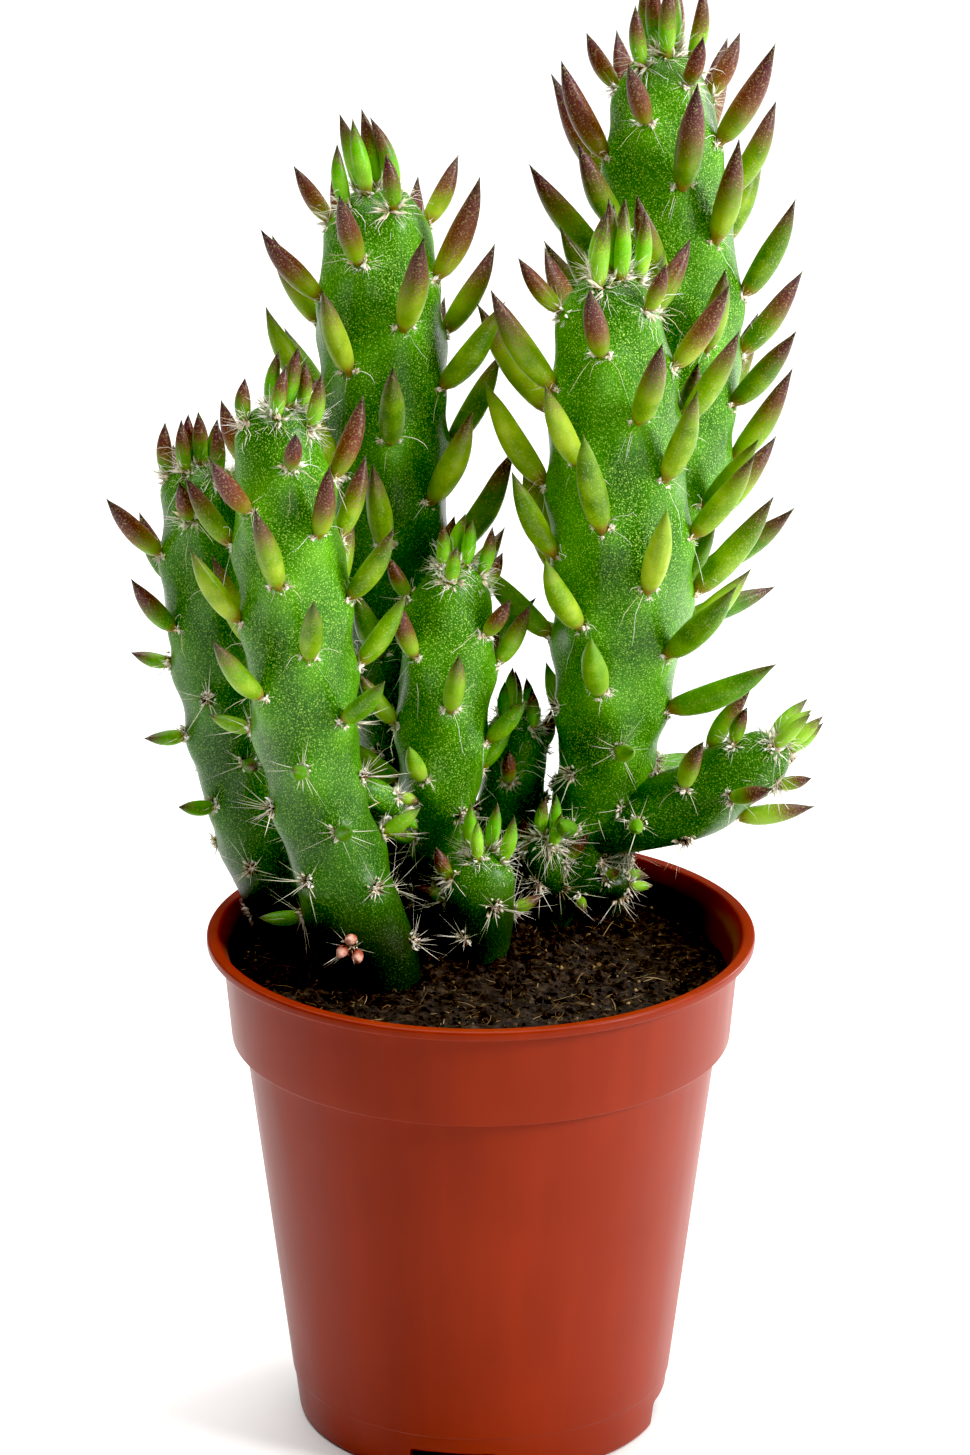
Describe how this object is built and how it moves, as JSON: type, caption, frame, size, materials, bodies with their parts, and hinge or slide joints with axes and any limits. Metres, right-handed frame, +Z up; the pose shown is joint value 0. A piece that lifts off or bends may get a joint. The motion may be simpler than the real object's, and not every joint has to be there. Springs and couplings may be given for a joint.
{
  "type": "potted Eve's needle cactus",
  "caption": "Upright columnar cactus with round knobbly stems and upswept needle-like leaves, growing in soil in a tapered plastic nursery pot.",
  "frame": {"origin": "bottom centre of the bounding box, on the surface that the pot stands on", "axes": "+Z up along the pot and stems, -Y towards the front of the plant, +X to its right"},
  "size_m": [0.1366, 0.1348, 0.2729],
  "materials": {
    "pot_plastic": "satin injection-moulded terracotta red",
    "soil": "rough dark peat",
    "plant": "waxy green skin"
  },
  "bodies": {
    "root": {"pot": "pot_plastic", "soil": "soil", "stem_tall_left": "plant", "stem_tallest": "plant", "stem_thick_right": "plant", "stem_front_left": "plant", "stem_far_left": "plant", "stem_middle": "plant", "shoot_shaded": "plant", "shoot_front": "plant"}
  },
  "joints": []
}
